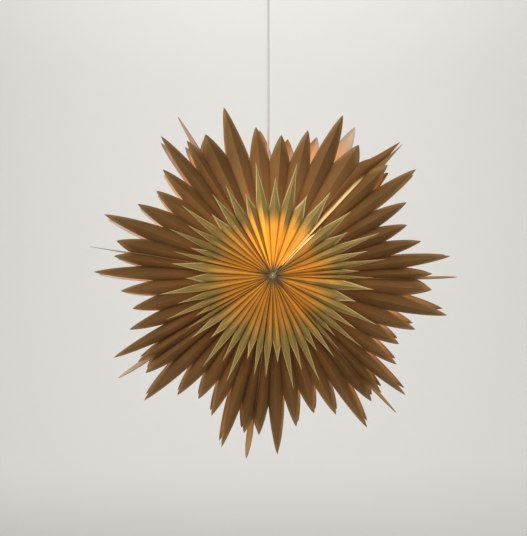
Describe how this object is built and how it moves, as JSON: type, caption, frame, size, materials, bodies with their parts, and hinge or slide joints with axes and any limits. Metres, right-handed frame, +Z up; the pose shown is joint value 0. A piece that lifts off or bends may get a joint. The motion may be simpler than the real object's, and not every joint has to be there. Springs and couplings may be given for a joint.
{
  "type": "paper advent star",
  "caption": "Pleated paper advent star with seven fan sections, two layers of pointed leaves front and rear, a lamp inside and a taut ceiling cord.",
  "frame": {"origin": "centre of the ceiling bracket's top face, where the star hangs from the ceiling", "axes": "+Z up against the ceiling, -Y towards the viewer who sees the star's front, +X to that viewer's right"},
  "size_m": [0.7971, 0.1774, 1.061],
  "materials": {
    "big_paper": "matte",
    "small_paper": "matte",
    "panel_paper": "matte",
    "thread": "matte",
    "pad": "matte",
    "steel": "satin",
    "plastic": "satin",
    "flex": "satin",
    "holder": "satin",
    "ceramic": "matte",
    "brass": "satin",
    "glass": "gloss"
  },
  "bodies": {
    "ceiling": {"ceiling_bracket": "steel", "flex": "flex"},
    "cup": {"ceiling_cup": "plastic"},
    "star": {"cord_grip": "holder", "lampholder_cap": "holder", "lampholder_body": "holder", "shade_ring": "holder", "contact_block": "ceramic", "wire_hanger": "steel", "section_1_front_big": "big_paper", "section_1_rear_big": "big_paper", "section_1_front_small": "small_paper", "section_1_rear_small": "small_paper", "section_1_start_panel": "panel_paper", "section_1_end_panel": "panel_paper", "section_2_start_panel": "panel_paper", "binding_thread_front": "thread", "binding_thread_rear": "thread", "seam_pad_hook": "pad"},
    "fold_2": {"section_2_front_big": "big_paper", "section_2_rear_big": "big_paper", "section_2_front_small": "small_paper", "section_2_rear_small": "small_paper", "section_2_end_panel": "panel_paper", "section_3_start_panel": "panel_paper"},
    "fold_3": {"section_3_front_big": "big_paper", "section_3_rear_big": "big_paper", "section_3_front_small": "small_paper", "section_3_rear_small": "small_paper", "section_3_end_panel": "panel_paper", "section_4_start_panel": "panel_paper"},
    "fold_4": {"section_4_front_big": "big_paper", "section_4_rear_big": "big_paper", "section_4_front_small": "small_paper", "section_4_rear_small": "small_paper", "section_4_end_panel": "panel_paper", "section_5_start_panel": "panel_paper"},
    "fold_5": {"section_5_front_big": "big_paper", "section_5_rear_big": "big_paper", "section_5_front_small": "small_paper", "section_5_rear_small": "small_paper", "section_5_end_panel": "panel_paper", "section_6_start_panel": "panel_paper"},
    "fold_6": {"section_6_front_big": "big_paper", "section_6_rear_big": "big_paper", "section_6_front_small": "small_paper", "section_6_rear_small": "small_paper", "section_6_end_panel": "panel_paper", "section_7_start_panel": "panel_paper"},
    "fold_7": {"section_7_front_big": "big_paper", "section_7_rear_big": "big_paper", "section_7_front_small": "small_paper", "section_7_rear_small": "small_paper", "section_7_end_panel": "panel_paper", "seam_pad_loop": "pad"},
    "bulb_foot": {"bulb_tip": "brass"},
    "bulb": {"bulb_cap": "brass", "bulb_glass": "glass"}
  },
  "joints": [
    {"name": "cup_slide", "type": "slide", "parent": "ceiling", "child": "cup", "axis": [0, 0, -1], "range_m": [0, 0.06]},
    {"name": "star_turn", "type": "hinge", "parent": "ceiling", "child": "star", "pos_m": [0, 0, -0.484], "axis": [0, 0, 1], "range_deg": [-180, 180]},
    {"name": "fold_2_joint", "type": "hinge", "parent": "star", "child": "fold_2", "pos_m": [0.0091, 0, -0.664], "axis": [0, 1, 0], "range_deg": [0, 30], "deforming": ["section_2_front_big", "section_2_rear_big", "section_2_front_small", "section_2_rear_small"]},
    {"name": "fold_3_joint", "type": "hinge", "parent": "fold_2", "child": "fold_3", "pos_m": [0.0091, 0, -0.664], "axis": [0, 1, 0], "range_deg": [0, 25.47], "deforming": ["section_3_front_big", "section_3_rear_big", "section_3_front_small", "section_3_rear_small"]},
    {"name": "fold_4_joint", "type": "hinge", "parent": "fold_3", "child": "fold_4", "pos_m": [0.0091, 0, -0.664], "axis": [0, 1, 0], "range_deg": [0, 28.82], "deforming": ["section_4_front_big", "section_4_rear_big", "section_4_front_small", "section_4_rear_small"]},
    {"name": "fold_5_joint", "type": "hinge", "parent": "fold_4", "child": "fold_5", "pos_m": [0.0091, 0, -0.664], "axis": [0, 1, 0], "range_deg": [0, 30.07], "deforming": ["section_5_front_big", "section_5_rear_big", "section_5_front_small", "section_5_rear_small"]},
    {"name": "fold_6_joint", "type": "hinge", "parent": "fold_5", "child": "fold_6", "pos_m": [0.0091, 0, -0.664], "axis": [0, 1, 0], "range_deg": [0, 28.4], "deforming": ["section_6_front_big", "section_6_rear_big", "section_6_front_small", "section_6_rear_small"]},
    {"name": "fold_7_joint", "type": "hinge", "parent": "fold_6", "child": "fold_7", "pos_m": [0.0091, 0, -0.664], "axis": [0, 1, 0], "range_deg": [0, 27.32], "deforming": ["section_7_front_big", "section_7_rear_big", "section_7_front_small", "section_7_rear_small"]},
    {"name": "bulb_travel", "type": "slide", "parent": "star", "child": "bulb_foot", "axis": [0, 0, -1], "range_m": [0, 0.0085]},
    {"name": "bulb_turn", "type": "hinge", "parent": "bulb_foot", "child": "bulb", "pos_m": [0, 0, -0.5285], "axis": [0, 0, -1], "range_deg": [0, 1080]}
  ],
  "couplings": [
    {"joint": "fold_3_joint", "follows": "fold_2_joint", "ratio": 0.84861},
    {"joint": "fold_4_joint", "follows": "fold_2_joint", "ratio": 0.96016},
    {"joint": "fold_5_joint", "follows": "fold_2_joint", "ratio": 1.002},
    {"joint": "fold_6_joint", "follows": "fold_2_joint", "ratio": 0.94622},
    {"joint": "fold_7_joint", "follows": "fold_2_joint", "ratio": 0.91036},
    {"joint": "bulb_travel", "follows": "bulb_turn", "m_per_rad": 0.0004488}
  ]
}
